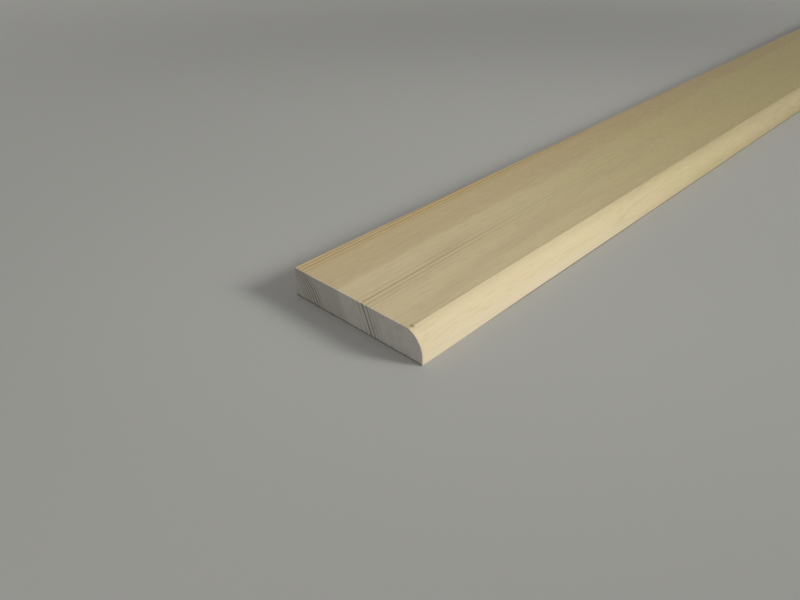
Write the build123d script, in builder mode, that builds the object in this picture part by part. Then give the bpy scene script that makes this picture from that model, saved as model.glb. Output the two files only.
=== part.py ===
from build123d import *
import os

# Pencil round skirting board: one length of planed softwood with one rounded edge.
# It lies on its back face. X runs along its length, Y across its width with the rounded
# edge at -Y, and Z up through its thickness. The origin is the middle of the back face.
# All sizes are in millimetres.

# The board as it is sold
length = 2400
width = 100
thickness = 19

# The pencil round: how much of the edge stays flat below it, and how far it reaches
# into the show face
flat_edge = 4.6
round_reach = 10.6

# The planed arrises are barely eased
arris_ease = 0.4

round_side = -width / 2
floor_side = width / 2
round_start = (round_side, flat_edge)
round_end = (round_side + round_reach, thickness)

with BuildPart() as skirting_board:
    # The section, drawn at the near end of the board
    with BuildSketch(Plane.YZ.offset(-length / 2)):
        with BuildLine():
            # The show face, the floor edge, the back and the flat edge, in one run
            flats = FilletPolyline(
                round_end,
                (floor_side, thickness),
                (floor_side, 0),
                (round_side, 0),
                round_start,
                radius=arris_ease,
            )
            # The round leaves the flat edge smoothly and turns through most of a quarter
            # circle. It meets the show face at a faint arris, which the cutter leaves sharp.
            TangentArc(flats @ 1, flats @ 0, tangent=flats % 1)
        make_face()
    extrude(amount=length)

skirting_board.part.label = "skirting_board"

os.makedirs("parts", exist_ok=True)
export_step(skirting_board.part, "parts/skirting_board.step")
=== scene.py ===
import math

import bpy
from mathutils import Matrix, Vector


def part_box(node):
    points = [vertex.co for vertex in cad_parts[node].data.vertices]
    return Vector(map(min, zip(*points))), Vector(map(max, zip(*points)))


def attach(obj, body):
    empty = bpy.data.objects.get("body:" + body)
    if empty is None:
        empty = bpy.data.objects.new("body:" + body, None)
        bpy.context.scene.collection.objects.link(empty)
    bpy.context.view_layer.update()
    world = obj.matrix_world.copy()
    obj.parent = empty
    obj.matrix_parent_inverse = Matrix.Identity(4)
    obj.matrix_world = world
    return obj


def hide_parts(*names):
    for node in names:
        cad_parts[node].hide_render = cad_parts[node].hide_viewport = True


# The finish of a length of pencil round skirting board: planed pine with one rounded edge.
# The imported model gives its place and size. The shapes are in metres, and the patterns in
# the wood are in millimetres.

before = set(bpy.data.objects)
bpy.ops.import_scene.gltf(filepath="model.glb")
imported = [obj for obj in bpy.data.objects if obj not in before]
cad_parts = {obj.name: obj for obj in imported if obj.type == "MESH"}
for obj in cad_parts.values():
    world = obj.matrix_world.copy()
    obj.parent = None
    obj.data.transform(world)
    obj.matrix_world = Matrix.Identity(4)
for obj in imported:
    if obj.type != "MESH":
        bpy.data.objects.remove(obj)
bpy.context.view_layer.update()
MM = 0.001

# Places closer together than this are the same
TOLERANCE = 0.01 * MM

# The board, as the model has it
low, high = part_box("skirting_board")
near_end, far_end = low.x, high.x
round_side, floor_side = low.y, high.y
thickness = high.z
width = floor_side - round_side
middle = (round_side + floor_side) / 2

# The section
FLAT_EDGE = 4.6 * MM
ROUND_REACH = 10.6 * MM
ARRIS_EASE = 0.4 * MM
ROUND_STEPS = 24
EASE_STEPS = 3
SMOOTH_BELOW = math.radians(12)

# The sawn ends: a small break of their rims, which the saw leaves slightly rough
RIM_BREAK = 0.25 * MM
RIM_ROUGHNESS = 0.35 * MM
RIM_PITCH = 1.0 * MM
RIM_DEPTH = 5 * MM
TEAR_SIZE = 1.6 * MM

# A small dent in the arris of the round, close to the near end
DENT_AT = 3.0 * MM
DENT_REACH = 0.9 * MM
DENT_DEPTH = 0.35 * MM

# An arc that leaves the flat edge straight up and reaches the show face
round_rise = thickness - FLAT_EDGE
round_radius = (ROUND_REACH**2 + round_rise**2) / (2 * ROUND_REACH)
round_turn = math.asin(round_rise / round_radius)


# Modelling

def pick(piece, wanted, kind="VERT"):
    """In edit mode, selects the piece's vertices, edges or faces that wanted(item) accepts."""
    bpy.ops.mesh.select_mode(type=kind)
    bpy.ops.mesh.select_all(action="DESELECT")
    bpy.ops.object.mode_set(mode="OBJECT")
    mesh = piece.data
    items = {"VERT": mesh.vertices, "EDGE": mesh.edges, "FACE": mesh.polygons}[kind]
    for item in items:
        item.select = wanted(item)
    bpy.ops.object.mode_set(mode="EDIT")


def same(a, b):
    return abs(a - b) < TOLERANCE


def moulded_board():
    """The board: its section drawn at the near end, then drawn out to the far end."""
    bpy.ops.object.select_all(action="DESELECT")
    centre = (near_end, middle, thickness / 2)
    bpy.ops.mesh.primitive_plane_add(size=1, location=centre, rotation=(0, math.pi / 2, 0))
    board = bpy.context.object
    board.name = "moulded_board"
    board.data.name = "moulded_board"
    bpy.ops.object.transform_apply(location=True, rotation=True, scale=True)
    bpy.ops.object.mode_set(mode="EDIT")
    bpy.ops.mesh.select_all(action="SELECT")
    bpy.ops.transform.resize(value=(1, width, thickness), center_override=centre)

    # The corner that the round takes away
    pick(board, lambda v: same(v.co.y, round_side) and same(v.co.z, thickness))
    bpy.ops.mesh.delete(type="VERT")

    # The flat edge, and the round above it
    pick(board, lambda v: same(v.co.y, round_side))
    bpy.ops.mesh.extrude_region_move(TRANSFORM_OT_translate={"value": (0, 0, FLAT_EDGE)})
    bpy.ops.mesh.spin(
        steps=ROUND_STEPS,
        angle=round_turn,
        center=(near_end, round_side + round_radius, FLAT_EDGE),
        axis=(1, 0, 0),
    )
    bpy.ops.mesh.select_all(action="SELECT")
    bpy.ops.mesh.edge_face_add()

    # The other three arrises are barely eased
    square = ((round_side, 0), (floor_side, 0), (floor_side, thickness))
    pick(board, lambda v: any(same(v.co.y, y) and same(v.co.z, z) for y, z in square))
    bpy.ops.mesh.bevel(offset=ARRIS_EASE, segments=EASE_STEPS, affect="VERTICES")

    # The straight sides of the section are cut up finely, for the rough rims of the ends
    cut_up(board, lambda spot: same(spot.z, 0), width)
    cut_up(board, lambda spot: same(spot.z, thickness), width - ROUND_REACH)
    cut_up(board, lambda spot: same(spot.y, floor_side), thickness)
    cut_up(board, lambda spot: same(spot.y, round_side), FLAT_EDGE)

    # Drawn out to the far end, and cut across close to both ends and around the dent
    bpy.ops.mesh.select_all(action="SELECT")
    bpy.ops.mesh.extrude_region_move(TRANSFORM_OT_translate={"value": (far_end - near_end, 0, 0)})
    around_dent = [near_end + DENT_AT + DENT_REACH * step / 3 for step in range(-3, 4)]
    for x in (*around_dent, near_end + RIM_DEPTH, far_end - RIM_DEPTH):
        bpy.ops.mesh.select_all(action="SELECT")
        bpy.ops.mesh.bisect(plane_co=(x, 0, 0), plane_no=(1, 0, 0))
    bpy.ops.mesh.select_all(action="SELECT")
    bpy.ops.mesh.normals_make_consistent(inside=False)
    dent_arris(board)

    # The rims of the ends
    mesh = board.data
    bpy.ops.object.mode_set(mode="OBJECT")
    at_end = [same(v.co.x, near_end) or same(v.co.x, far_end) for v in mesh.vertices]
    bpy.ops.object.mode_set(mode="EDIT")
    pick(board, lambda e: all(at_end[v] for v in e.vertices), "EDGE")
    bpy.ops.mesh.bevel(offset=RIM_BREAK, segments=2)
    bpy.ops.object.mode_set(mode="OBJECT")
    roughen_rims(board)
    bpy.ops.object.select_all(action="DESELECT")
    board.select_set(True)
    bpy.context.view_layer.objects.active = board
    bpy.ops.object.shade_smooth_by_angle(angle=SMOOTH_BELOW)
    return board


def cut_up(board, on_side, length):
    """Cuts one straight side of the section, of this length, into pieces of about RIM_PITCH."""
    bpy.ops.object.mode_set(mode="OBJECT")
    side = [on_side(v.co) for v in board.data.vertices]
    bpy.ops.object.mode_set(mode="EDIT")
    pick(board, lambda e: all(side[v] for v in e.vertices), "EDGE")
    bpy.ops.mesh.subdivide(number_cuts=round(length / RIM_PITCH) - 1)


def dent_arris(board):
    """Presses the small dent into the arris of the round."""
    arris = Vector((near_end + DENT_AT, round_side + ROUND_REACH, thickness))
    pick(board, lambda v: (v.co - arris).length < 0.1 * MM)
    bpy.ops.transform.translate(
        value=(0, 0.4 * DENT_DEPTH, -DENT_DEPTH),
        use_proportional_edit=True,
        proportional_size=DENT_REACH,
        proportional_edit_falloff="SMOOTH",
    )


def roughen_rims(board):
    """Moves the rims of the ends inwards here and there, as where a saw tears out fibres."""
    rims = board.vertex_groups.new(name="rims")
    for vertex in board.data.vertices:
        from_end = min(vertex.co.x - near_end, far_end - vertex.co.x)
        if TOLERANCE < from_end < 1.1 * RIM_BREAK:
            rims.add([vertex.index], 1.0, "REPLACE")
    grain = bpy.data.textures.new("torn_grain", "CLOUDS")
    grain.noise_scale = TEAR_SIZE
    grain.noise_depth = 1
    torn = board.modifiers.new("torn_grain", "DISPLACE")
    torn.texture = grain
    torn.texture_coords = "LOCAL"
    torn.direction = "NORMAL"
    torn.mid_level = 1.0
    torn.strength = RIM_ROUGHNESS
    torn.vertex_group = "rims"
    bpy.ops.object.modifier_apply(modifier="torn_grain")
    board.vertex_groups.clear()


# Finishes

class Value:
    """A value in a finish. Sums with it add nodes to the finish."""

    def __init__(self, finish, socket):
        self.finish = finish
        self.socket = socket

    def __add__(self, other):
        return self.finish.math("ADD", self, other)

    __radd__ = __add__

    def __sub__(self, other):
        return self.finish.math("SUBTRACT", self, other)

    def __rsub__(self, other):
        return self.finish.math("SUBTRACT", other, self)

    def __mul__(self, other):
        return self.finish.math("MULTIPLY", self, other)

    __rmul__ = __mul__

    def __truediv__(self, other):
        return self.finish.math("DIVIDE", self, other)

    def __pow__(self, other):
        return self.finish.math("POWER", self, other)


class Finish:
    """The nodes of a material or of the world."""

    def __init__(self, holder):
        self.holder = holder
        holder.use_nodes = True
        self.tree = holder.node_tree
        self.tree.nodes.clear()

    def node(self, kind, settings=(), sockets=(), output=0):
        """Adds a node: first its settings, then the values or links of its sockets."""
        made = self.tree.nodes.new(kind)
        for name, value in dict(settings).items():
            if name == "stops":
                self.set_stops(made.color_ramp, value)
            else:
                setattr(made, name, value)
        for name, value in dict(sockets).items():
            if isinstance(value, Value):
                self.tree.links.new(value.socket, made.inputs[name])
            else:
                made.inputs[name].default_value = value
        return Value(self, made.outputs[output]) if made.outputs else made

    def set_stops(self, ramp, stops):
        """Gives the ramp these (place, grey value) stops."""
        while len(ramp.elements) < len(stops):
            ramp.elements.new(1)
        for element, (place, grey) in zip(ramp.elements, stops):
            element.position = place
            element.color = (grey, grey, grey, 1)

    def math(self, operation, *terms):
        return self.node("ShaderNodeMath", {"operation": operation}, dict(enumerate(terms)))

    def between(self, value, start, end):
        """0 before start and 1 after end, with a soft rise between them."""
        settings = {"interpolation_type": "SMOOTHSTEP"}
        sockets = {"Value": value, "From Min": start, "From Max": end}
        return self.node("ShaderNodeMapRange", settings, sockets)

    def mix(self, first, second, share):
        """The first colour, with this share of the second."""
        settings = {"data_type": "RGBA"}
        sockets = {0: share, 6: first, 7: second}
        return self.node("ShaderNodeMix", settings, sockets, output=2)

    def place(self):
        """The place in the wood as a vector, in millimetres, with x counted from the near end."""
        found = self.node("ShaderNodeTexCoord", output="Object")
        from_end = self.node(
            "ShaderNodeVectorMath", {"operation": "SUBTRACT"}, {0: found, 1: (near_end, 0, 0)}
        )
        sockets = {0: from_end, "Scale": 1 / MM}
        return self.node("ShaderNodeVectorMath", {"operation": "SCALE"}, sockets)

    def parts(self, vector):
        """The three numbers of a vector."""
        split = self.node("ShaderNodeSeparateXYZ", sockets={"Vector": vector}).socket.node
        return [Value(self, split.outputs[axis]) for axis in "XYZ"]

    def streaks(self, place, length, width, detail=2, seed=0):
        """Noise from -1 to 1 that is drawn out along the board, in millimetres."""
        stretched = self.node(
            "ShaderNodeVectorMath",
            {"operation": "MULTIPLY_ADD"},
            {0: place, 1: (1 / length, 1 / width, 1 / width), 2: (seed, seed, seed)},
        )
        sockets = {"Vector": stretched, "Scale": 1, "Detail": detail}
        return self.node("ShaderNodeTexNoise", sockets=sockets) * 4 - 2

    def steps(self, value, pitch, seed=0):
        """Noise from 0 to 1 that depends on one value alone."""
        sockets = {"W": value / pitch + seed, "Scale": 1}
        return self.node("ShaderNodeTexNoise", {"noise_dimensions": "1D"}, sockets)

    def finished(self, colour, roughness, height, gloss):
        """Puts the shader on the material. The height is in millimetres."""
        relief = {"Strength": 1.0, "Distance": MM, "Height": height}
        normal = self.node("ShaderNodeBump", sockets=relief)
        shader = self.node(
            "ShaderNodeBsdfPrincipled",
            sockets={
                "Base Color": colour,
                "Roughness": roughness,
                "Normal": normal,
                "Specular IOR Level": gloss,
            },
        )
        self.node("ShaderNodeOutputMaterial", sockets={"Surface": shader})
        return self.holder


# How the tree grew. The pith lies beyond the floor edge and below the back, so that the
# rings cross the section as slightly bent lines, with their feet nearer to the round than
# their tops. Marked rings are given by where they meet the show face at the near end, in
# millimetres from the middle of its width, and by how dark their late wood is.
PITH = (198, -79)
GRAIN_SLOPE = 0.0175
SHOW_FACE = thickness / MM
LENGTH = (far_end - near_end) / MM
ARRIS = (round_side + ROUND_REACH) / MM
MIDDLE_RINGS = ((-14.2, 0.2), (-11.3, 0.4), (-8.5, 0.7), (-5.3, 1.0), (-1.6, 0.3), (2.0, 0.15))
FLOOR_SIDE_RINGS = (
    (38.4, 0.25), (40.9, 0.7), (43.8, 1.0), (46.6, 0.85),
    (49.6, 0.75), (51.7, 0.5), (53.8, 0.4), (55.9, 0.4),
)

# The kinds of wood in the section, by the rings between which one blends into the next
OUTER_WOOD = (-42, -54)
HEARTWOOD = (17.5, 11.5)
FLOOR_SIDE_WOOD = (44, 36)

# Towards the floor edge the rings bend over, ever more above this height
BEND_ACROSS = (16, 30)
BEND_FROM = 8
BEND = 0.036

# How far the rings wander from straight lines: slowly, and in short waves
LONG_WANDER = 0.5
SHORT_WANDER = 0.09

# How wide a ring's late wood is before and after its darkest line, on the long faces and on
# the sawn ends, and what share of that it is in the rings of the floor side
FACE_LATE_WOOD = {"rise": 1.45, "fall": 0.55}
END_LATE_WOOD = {"rise": 1.1, "fall": 0.45}
FLOOR_SIDE_NARROWING = 0.75

# The years between the marked rings: how wide they are, how strong the lines of late wood
# are everywhere, in the outermost and in the innermost wood, and the least that shows
YEAR_WIDTH = 1.9
YEAR_LINES = 0.22
OUTER_YEAR_LINES = 0.5
INNER_YEAR_LINES = 0.4
LEAST_YEAR_LINES = 0.05
OUTERMOST = (-46, -56)
INNERMOST = (70, 52)


def ring_radius(place):
    """The radius of the ring that meets the show face here at the near end."""
    share = min(max((place - BEND_ACROSS[0]) / (BEND_ACROSS[1] - BEND_ACROSS[0]), 0), 1)
    share = share * share * (3 - 2 * share)
    place = place - share * BEND * (SHOW_FACE - BEND_FROM) ** 2
    return math.hypot(PITH[0] - place, PITH[1] - SHOW_FACE)


def wood_outside(finish, radius, rings):
    """0 inside the first of these two rings and 1 outside the second."""
    return finish.between(radius, ring_radius(rings[0]), ring_radius(rings[1]))


def ring_lines(finish, radius, rings, rise, fall):
    """The late wood of the marked rings. Each darkens slowly outwards and then ends sharply."""
    inner = min(ring_radius(place) for place, _ in rings) - 3
    outer = max(ring_radius(place) for place, _ in rings) + 3
    stops = [(0, 0)]
    for place, darkness in sorted(rings, reverse=True):
        at = ring_radius(place)
        stops.append(((at - rise - inner) / (outer - inner), 0))
        stops.append(((at - inner) / (outer - inner), darkness))
        stops.append(((at + fall - inner) / (outer - inner), 0))
    sockets = {"Value": radius, "From Min": inner, "From Max": outer}
    share = finish.node("ShaderNodeMapRange", sockets=sockets)
    return finish.node("ShaderNodeValToRGB", {"stops": stops}, {"Fac": share})


def growth(finish, place, rise, fall):
    """The late wood from 0 to 1 at this place, and the radius of its ring."""
    along, across, up = finish.parts(place)
    wander = finish.streaks(place, 150, 60, detail=1, seed=4.0) * LONG_WANDER
    wander = wander + finish.streaks(place, 22, 12, detail=1, seed=8.0) * SHORT_WANDER
    bend = finish.math("MAXIMUM", up - BEND_FROM, 0) ** 2 * BEND
    bend = bend * finish.between(across, *BEND_ACROSS)
    straight = across - along * GRAIN_SLOPE - wander - bend
    radius = ((straight - PITH[0]) ** 2 + (up - PITH[1]) ** 2) ** 0.5

    # The marked rings, of which those in the middle fade along the board
    marked = ring_lines(finish, radius, MIDDLE_RINGS, rise, fall)
    marked = marked * (1 - 0.6 * finish.between(along, 30, 200))
    marked = marked * (1 - 0.7 * finish.between(along, 220, 450))
    narrower = (FLOOR_SIDE_NARROWING * rise, FLOOR_SIDE_NARROWING * fall)
    marked = marked + ring_lines(finish, radius, FLOOR_SIDE_RINGS, *narrower)

    # The other years are of uneven width. The outermost wood comes in along the board.
    years = radius / YEAR_WIDTH + finish.steps(radius, 8) * 3
    strength = finish.between(finish.steps(radius, 5, seed=40), 0.42, 0.75)
    outer = wood_outside(finish, radius, OUTERMOST)
    inner = 1 - wood_outside(finish, radius, INNERMOST)
    strength = strength * (YEAR_LINES + OUTER_YEAR_LINES * outer + INNER_YEAR_LINES * inner)
    faint = finish.math("FRACT", years) ** 4 * (strength + LEAST_YEAR_LINES)
    return finish.math("MINIMUM", marked + faint, 1), radius


# Colours of the planed wood. Where there are two, the first is that of the near end, and
# the second comes in along the board, over these millimetres from the near end.
# The darkening along the board is partly the wood's own, partly painted shade of waning light
WOOD_AND_SHADE_CHANGES = (-60, 450)
EARLY_WOOD = ((0.668, 0.555, 0.334, 1), (0.530, 0.445, 0.208, 1))
HEART_EARLY_WOOD = ((0.570, 0.440, 0.249, 1), (0.498, 0.385, 0.196, 1))
FLOOR_SIDE_EARLY_WOOD = ((0.610, 0.474, 0.254, 1), (0.540, 0.426, 0.198, 1))
OUTER_WOOD_AND_SHADE_CHANGES = (0, 380)
OUTER_EARLY_WOOD = ((0.685, 0.565, 0.362, 1), (0.535, 0.442, 0.228, 1))
LATE_WOOD = (0.380, 0.290, 0.155, 1)
ORANGE_LATE_WOOD = (0.340, 0.185, 0.042, 1)
DARK_STREAK = (0.500, 0.395, 0.225, 1)
WARM_STREAK = (0.600, 0.450, 0.285, 1)
PALE_MOTTLE = (0.640, 0.545, 0.350, 1)
DARK_MOTTLE = (0.430, 0.330, 0.190, 1)
ORANGE_FLECK = (0.640, 0.390, 0.180, 1)
PALE_FIBRE = (0.700, 0.610, 0.420, 1)
DARK_FIBRE = (0.400, 0.300, 0.160, 1)
RESIN = (0.300, 0.190, 0.090, 1)

# Colours that the saw and the cutter have left on it, a darker line by the arris,
# painted highlights on the round, a painted shadow and painted shade
PAINTED_LOW_HIGHLIGHT = (0.775, 0.665, 0.470, 1)
FRESH_CUT_AND_HIGHLIGHT = (0.740, 0.625, 0.395, 1)
BROKEN_FIBRES = (0.700, 0.610, 0.440, 1)
DULL_ARRIS = (0.360, 0.280, 0.165, 1)
PAINTED_CONTACT_SHADOW = (0.150, 0.105, 0.060, 1)
PAINTED_DENT_SHADE = (0.210, 0.150, 0.070, 1)

# The planed surface: its roughness and gloss, and its relief in millimetres
PLANED_ROUGHNESS = 0.6
PLANED_GLOSS = 0.35
LATE_WOOD_SMOOTHER = 0.12
FIBRE_ROUGHER = 0.03
LATE_WOOD_PROUD = 0.01
FIBRE_HEIGHT = 0.006
RIPPLE_PITCH = 1.9
RIPPLE_HEIGHT = 0.0012

# The sawn ends: their colours, roughness and gloss, and their relief in millimetres
END_WOOD = (0.535, 0.502, 0.458, 1)
END_HEART = (0.445, 0.418, 0.370, 1)
END_PATCH = (0.465, 0.438, 0.400, 1)
END_RING = (0.075, 0.060, 0.042, 1)
END_PORE = (0.200, 0.170, 0.130, 1)
# The dark of a painted shade along the foot of the ends
END_FOOT_SHADE = (0.080, 0.070, 0.055, 1)
SAWN_ROUGHNESS = 0.85
SAWN_GLOSS = 0.2
END_RING_PROUD = 0.04
PORE_HEIGHT = 0.03
SAW_MARK_PITCH = 1.4
SAW_MARK_HEIGHT = 0.012
SAW_SLANT = 0.25


def planed_pine():
    """Pale pine, planed along the grain."""
    finish = Finish(bpy.data.materials.new("planed_pine"))
    place = finish.place()
    along, across, up = finish.parts(place)
    late, radius = growth(finish, place, **FACE_LATE_WOOD)
    outer = wood_outside(finish, radius, OUTER_WOOD)
    heart = 1 - wood_outside(finish, radius, HEARTWOOD)
    floor_side_wood = 1 - wood_outside(finish, radius, FLOOR_SIDE_WOOD)
    broad = finish.streaks(place, 130, 14, detail=2, seed=11.0)
    warm = finish.streaks(place, 60, 9, detail=2, seed=21.0)
    mottle = finish.streaks(place, 12, 1.6, detail=2, seed=31.0)
    fibre = finish.streaks(place, 45, 0.45, detail=3, seed=2.0)
    threads = finish.streaks(place, 14, 0.22, detail=1, seed=7.0)

    # The early wood, paler at the rounded edge, and darker and pinker in the heart and
    # towards the floor edge
    # The early wood darkens along the board: partly its own change, partly painted shade
    further = finish.between(along, *WOOD_AND_SHADE_CHANGES)
    early = finish.mix(*EARLY_WOOD, further)
    outer_early = finish.mix(*OUTER_EARLY_WOOD, finish.between(along, *OUTER_WOOD_AND_SHADE_CHANGES))
    early = finish.mix(early, outer_early, outer)
    early = finish.mix(early, finish.mix(*HEART_EARLY_WOOD, further), heart * 0.85)
    early = finish.mix(early, finish.mix(*FLOOR_SIDE_EARLY_WOOD, further), floor_side_wood)
    early = finish.mix(early, DARK_STREAK, finish.between(broad, -0.1, 1.1) * 0.5)
    early = finish.mix(early, WARM_STREAK, finish.between(warm, 0.1, 1.1) * 0.4)
    early = finish.mix(early, PALE_MOTTLE, finish.between(mottle, 0, 1.2) * 0.45)
    early = finish.mix(early, DARK_MOTTLE, finish.between(mottle, 0, -1.2) * 0.35)

    # Painted highlight: the flat edge and the foot of the round are palest, close to the near end
    low_highlight = (1 - finish.between(up, 4, 13)) * (1 - finish.between(across, -46, -40))
    low_highlight = low_highlight * (1 - finish.between(along, 60, 380))
    early = finish.mix(early, PAINTED_LOW_HIGHLIGHT, low_highlight * 0.8)

    # The cutter's fresher cut and a painted highlight make the top of the round paler than the
    # show face
    fresh_and_highlight = (1 - finish.between(across, ARRIS - 0.5, ARRIS - 0.1)) * finish.between(up, 13, 18)
    fresh_and_highlight = fresh_and_highlight * (1 - 0.8 * finish.between(along, 60, 300))
    early = finish.mix(early, FRESH_CUT_AND_HIGHLIGHT, fresh_and_highlight * 0.5)

    # Orange flecks close to the floor edge, further along the board
    flecks = finish.streaks(place, 18, 3, detail=1, seed=27.0)
    flecks = finish.between(flecks, 0.2, 0.9) * finish.between(across, 45, 48)
    flecks = flecks * finish.between(along, 220, 330)
    early = finish.mix(early, ORANGE_FLECK, flecks * 0.5)

    # The late wood, orange towards the floor edge
    late_colour = finish.mix(LATE_WOOD, ORANGE_LATE_WOOD, floor_side_wood)
    colour = finish.mix(early, late_colour, late * 0.85)

    # Fibres, and short dark resin threads
    colour = finish.mix(colour, PALE_FIBRE, finish.between(fibre, 0.1, 1.3) * 0.25)
    colour = finish.mix(colour, DARK_FIBRE, finish.between(fibre, -0.1, -1.3) * 0.25)
    colour = finish.mix(colour, RESIN, finish.between(threads, 1.0, 1.35) * 0.4)

    # A thin darker line runs along the arris of the round, on the show face; a painted shadow
    # runs along the lower arris, where the board meets the floor, and painted shade fills the dent
    beside_arris = 1 - finish.between(across, ARRIS + 0.5, ARRIS + 1.3)
    beside_arris = beside_arris * finish.between(across, ARRIS - 0.5, ARRIS - 0.1)
    dull = finish.between(finish.streaks(place, 35, 4, detail=2, seed=14.0), -0.9, 0.9)
    colour = finish.mix(colour, DULL_ARRIS, beside_arris * (0.1 + 0.2 * dull))
    # Painted shadow along the lower arris, where the board meets the floor
    contact_shadow = (1 - finish.between(up, 0.4, 1.2)) * (1 - finish.between(across, -49, -47))
    contact_shadow = contact_shadow * (0.1 + 0.8 * finish.between(along, 15, 110))
    colour = finish.mix(colour, PAINTED_CONTACT_SHADOW, contact_shadow)
    # Painted shade in the dent
    sockets = {0: place, 1: (DENT_AT / MM, ARRIS, SHOW_FACE)}
    from_dent = finish.node("ShaderNodeVectorMath", {"operation": "DISTANCE"}, sockets, output=1)
    colour = finish.mix(colour, PAINTED_DENT_SHADE, (1 - finish.between(from_dent, 0.6, 1.8)) * 0.65)

    # The saw has left pale broken fibres along the rims of the ends
    from_end = finish.math("MINIMUM", along, LENGTH - along)
    from_end = from_end + finish.streaks(place, 3, 2.5, detail=2, seed=19.0) * 0.3
    colour = finish.mix(colour, BROKEN_FIBRES, (1 - finish.between(from_end, 0.2, 1.0)) * 0.5)

    # The cutter leaves very shallow ripples, and late wood stands a little proud
    ripples = finish.math("SINE", along * (2 * math.pi / RIPPLE_PITCH)) * RIPPLE_HEIGHT
    height = late * LATE_WOOD_PROUD + fibre * FIBRE_HEIGHT + ripples
    roughness = PLANED_ROUGHNESS - late * LATE_WOOD_SMOOTHER + fibre * FIBRE_ROUGHER
    return finish.finished(colour, roughness, height, PLANED_GLOSS)


def sawn_end():
    """The same wood cut across, where it is duller and the rings show dark."""
    finish = Finish(bpy.data.materials.new("sawn_end"))
    place = finish.place()
    _, across, up = finish.parts(place)
    late, radius = growth(finish, place, **END_LATE_WOOD)
    heart = 1 - wood_outside(finish, radius, HEARTWOOD)
    pores = finish.streaks(place, 30, 0.3, detail=2, seed=5.0)
    patches = finish.streaks(place, 30, 6, detail=2, seed=9.0)
    early = finish.mix(END_WOOD, END_HEART, heart)
    early = finish.mix(early, END_PATCH, finish.between(patches, -0.3, 1.0) * 0.6)
    colour = finish.mix(early, END_RING, late * 0.9)
    colour = finish.mix(colour, END_PORE, finish.between(pores, 0.5, 1.3) * 0.35)

    # Painted shade darkens the end along its foot, where it meets the floor
    from_back = up + finish.streaks(place, 30, 1.5, detail=2, seed=17.0) * 0.35
    colour = finish.mix(colour, END_FOOT_SHADE, (1 - finish.between(from_back, 0.3, 1.7)) * 0.7)

    # Its marks run slightly aslant
    marks = across * SAW_SLANT + up + finish.streaks(place, 30, 3, detail=2, seed=23.0) * 0.5
    marks = finish.math("SINE", marks * (2 * math.pi / SAW_MARK_PITCH)) * SAW_MARK_HEIGHT
    height = late * END_RING_PROUD + pores * PORE_HEIGHT + marks
    return finish.finished(colour, SAWN_ROUGHNESS, height, SAWN_GLOSS)


# The board's flat layout for images of its finish: the long faces lie along it as strips, and
# the two ends side by side at the top, so that they keep their fine rings.
STRIPS = {
    "show": (0.01, 0.42),
    "round": (0.44, 0.59),
    "back": (0.61, 0.76),
    "floor_edge": (0.78, 0.83),
}
STRIP_LENGTH = (0.01, 0.99)
ENDS = {"near": (0.01, 0.49), "far": (0.51, 0.99)}
END_STRIP = (0.85, 0.99)


def span(share, low_high):
    """The place at this share of the way from the low to the high number."""
    return low_high[0] + share * (low_high[1] - low_high[0])


def is_end(face):
    """Whether the face belongs to one of the two sawn ends."""
    return abs(face.normal.x) > 0.7


def strip_of(normal):
    """The strip that a long face belongs to, by its normal."""
    if normal.z < -0.7:
        return "back"
    if normal.y > 0.7:
        return "floor_edge"
    if normal.z > 0.97:
        return "show"
    return "round"


def lay_flat(board):
    """Gives the board the map of its flat layout."""
    mesh = board.data
    layout = mesh.uv_layers.new(name="OFBake")
    for face in mesh.polygons:
        strip = strip_of(face.normal)
        for corner in face.loop_indices:
            spot = mesh.vertices[mesh.loops[corner].vertex_index].co
            across = (spot.y - round_side) / width
            up = spot.z / thickness
            if is_end(face):
                end = "near" if face.normal.x < 0 else "far"
                layout.data[corner].uv = (span(across, ENDS[end]), span(up, END_STRIP))
                continue
            # How far across its strip the place is, as the face unrolls
            if strip == "show":
                share = (spot.y - round_side - ROUND_REACH) / (width - ROUND_REACH)
            elif strip == "back":
                share = across
            elif strip == "floor_edge":
                share = up
            else:
                share = 0.5 * (up + across * width / ROUND_REACH)
            share = min(max(share, 0), 1)
            along = (spot.x - near_end) / (far_end - near_end)
            layout.data[corner].uv = (span(along, STRIP_LENGTH), span(share, STRIPS[strip]))


board = moulded_board()
lay_flat(board)
board.data.materials.append(planed_pine())
board.data.materials.append(sawn_end())
for face in board.data.polygons:
    face.material_index = 1 if is_end(face) else 0
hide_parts("skirting_board")
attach(board, "root")


# Floor. The lamps light two soft ovals of it, so its own grey is paler outside those, and
# a little paler in two more, which the lamps leave dim. The ovals are in metres and degrees.

FLOOR_SIZE = 12
FLOOR_GAP = 0.05 * MM
FLOOR_GREY = (0.430, 0.427, 0.399, 1)
FLOOR_PALEST = (0.960, 0.950, 0.887, 1)
NEAR_LIT = {"middle": (-0.938, 0.016), "turn": -62, "length": 0.538, "width": 0.346}
FAR_LIT = {"middle": (0.495, 0.141), "turn": -112, "length": 0.466, "width": 0.567}
NEAR_DIM = {"middle": (-0.58, 0.009), "turn": -49, "length": 0.73, "width": 0.435}
FAR_DIM = {"middle": (0.096, 0.677), "turn": -2, "length": 2.573, "width": 0.656}

# From a lit oval outwards the grey pales, until this many times as far from its middle
NEAR_LIT_ENDS = 2.92
FAR_LIT_ENDS = 3.15

# How much paler it is outside both lit ovals, and in each of the dim ones
PALER_OUTSIDE = 0.68
PALER_NEAR_DIM = 0.22
PALER_FAR_DIM = 0.26


def from_middle(finish, x, y, middle, turn, length, width):
    """How far out from the middle of an oval a place is: 1 on the oval itself."""
    cos = math.cos(math.radians(turn))
    sin = math.sin(math.radians(turn))
    x = x - middle[0]
    y = y - middle[1]
    return (((x * cos + y * sin) / length) ** 2 + ((y * cos - x * sin) / width) ** 2) ** 0.5


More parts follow.
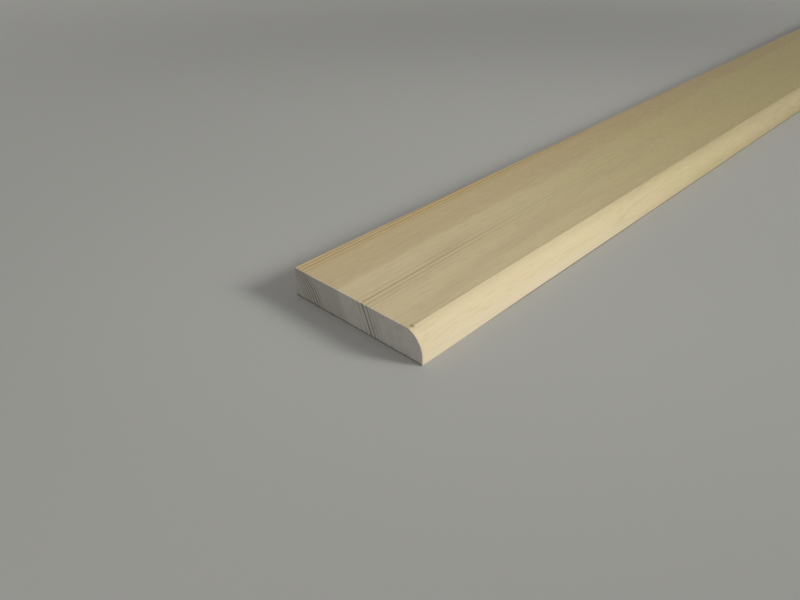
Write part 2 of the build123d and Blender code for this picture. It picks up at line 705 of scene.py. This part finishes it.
bpy.ops.object.select_all(action="DESELECT")
bpy.ops.mesh.primitive_plane_add(size=FLOOR_SIZE, location=(0, 0, -FLOOR_GAP))
floor = bpy.context.object
floor.name = "floor"
pale = Finish(bpy.data.materials.new("pale_floor"))
floor_x, floor_y, _ = pale.parts(pale.node("ShaderNodeTexCoord", output="Object"))
near_lit, far_lit, near_dim, far_dim = [
    from_middle(pale, floor_x, floor_y, **oval) for oval in (NEAR_LIT, FAR_LIT, NEAR_DIM, FAR_DIM)
]
outside = pale.between(near_lit, 1, NEAR_LIT_ENDS) * pale.between(far_lit, 1, FAR_LIT_ENDS)
paler = outside * PALER_OUTSIDE
paler = paler + (1 - pale.between(near_dim, 0, 1)) * PALER_NEAR_DIM
paler = paler + (1 - pale.between(far_dim, 0, 1)) * PALER_FAR_DIM
grey = pale.mix(FLOOR_GREY, FLOOR_PALEST, paler)
paper = pale.node(
    "ShaderNodeBsdfPrincipled",
    sockets={"Base Color": grey, "Roughness": 0.8, "Specular IOR Level": 0.2},
)
pale.node("ShaderNodeOutputMaterial", sockets={"Surface": paper})
floor.data.materials.append(pale.holder)

# Camera, near the end and looking down along the board. Its place is from the near end of
# the rounded edge, and its direction is in degrees.

CAMERA_AT = (near_end - 231.6 * MM, round_side - 194.9 * MM, 235.8 * MM)
CAMERA_HEADING = 42.393
CAMERA_DOWN = 32.82
CAMERA_ROLL = 0.786
camera_data = bpy.data.cameras.new("camera")
camera_data.sensor_width = 36
camera_data.lens = 33.1
camera = bpy.data.objects.new("camera", camera_data)
bpy.context.collection.objects.link(camera)
camera.matrix_world = (
    Matrix.Translation(CAMERA_AT)
    @ Matrix.Rotation(math.radians(CAMERA_HEADING - 90), 4, "Z")
    @ Matrix.Rotation(math.radians(90 - CAMERA_DOWN), 4, "X")
    @ Matrix.Rotation(math.radians(CAMERA_ROLL), 4, "Z")
)
bpy.context.scene.camera = camera

# Light

# The world lights the board evenly from all around, and is seen in the grey of the lit floor
WORLD_LIGHT = 0.32
WORLD_SEEN = (0.250, 0.247, 0.232, 1)
studio = Finish(bpy.data.worlds.new("studio"))
bpy.context.scene.world = studio.holder
rays = studio.node("ShaderNodeLightPath").socket.node.outputs
camera_ray, glossy_ray, transmission_ray = [
    Value(studio, rays[kind]) for kind in ("Is Camera Ray", "Is Glossy Ray", "Is Transmission Ray")
]
white = {"Color": (1, 1, 1, 1), "Strength": WORLD_LIGHT}
around = studio.node("ShaderNodeBackground", sockets=white)
backdrop = studio.node("ShaderNodeBackground", sockets={"Color": WORLD_SEEN, "Strength": 1.0})
seen = camera_ray + glossy_ray + transmission_ray
shown = studio.node("ShaderNodeMixShader", sockets={0: seen, 1: around, 2: backdrop})
studio.node("ShaderNodeOutputWorld", sockets={"Surface": shown})


def softbox(name, aim, azimuth, elevation, distance, width, height, power, spread):
    """Puts a soft lamp at this azimuth, elevation and distance from what it is aimed at."""
    lamp = bpy.data.lights.new(name, "AREA")
    lamp.shape = "RECTANGLE"
    lamp.size = width
    lamp.size_y = height
    lamp.energy = power
    lamp.spread = math.radians(spread)
    holder = bpy.data.objects.new(name, lamp)
    bpy.context.collection.objects.link(holder)
    a = math.radians(azimuth)
    e = math.radians(elevation)
    way = Vector((math.cos(e) * math.cos(a), math.cos(e) * math.sin(a), math.sin(e)))
    holder.location = Vector(aim) + way * distance
    holder.rotation_euler = way.to_track_quat("Z", "Y").to_euler()


# Each lamp: its name, aim, azimuth, elevation, distance, width, height, power and spread
softbox("key", (near_end + 0.11, -0.04, 0), -58, 28, 2.2, 0.8, 0.8, 1.6, 27)
softbox("key_all_over", (0, 0, 0), -58, 28, 6, 2.4, 2.4, 13, 180)
softbox("near_fill", (near_end, 0, 0), 200, 38, 1.2, 0.4, 0.4, 0.075, 26)
softbox("front_fill", (0, 0, 0), -85, 7, 2.5, 2.6, 0.4, 0.8, 90)
softbox("far_key", (0.55, 0, 0), -90, 28, 2.2, 1.7, 0.5, 2.4, 28)
softbox("far_fill", (far_end, 0, 0), -20, 38, 1.2, 0.4, 0.4, 0.2, 50)
softbox("back_light", (0, 0, 0), 95, 16, 2.5, 2.6, 0.6, 1.2, 90)

bpy.context.scene.view_settings.view_transform = "Standard"
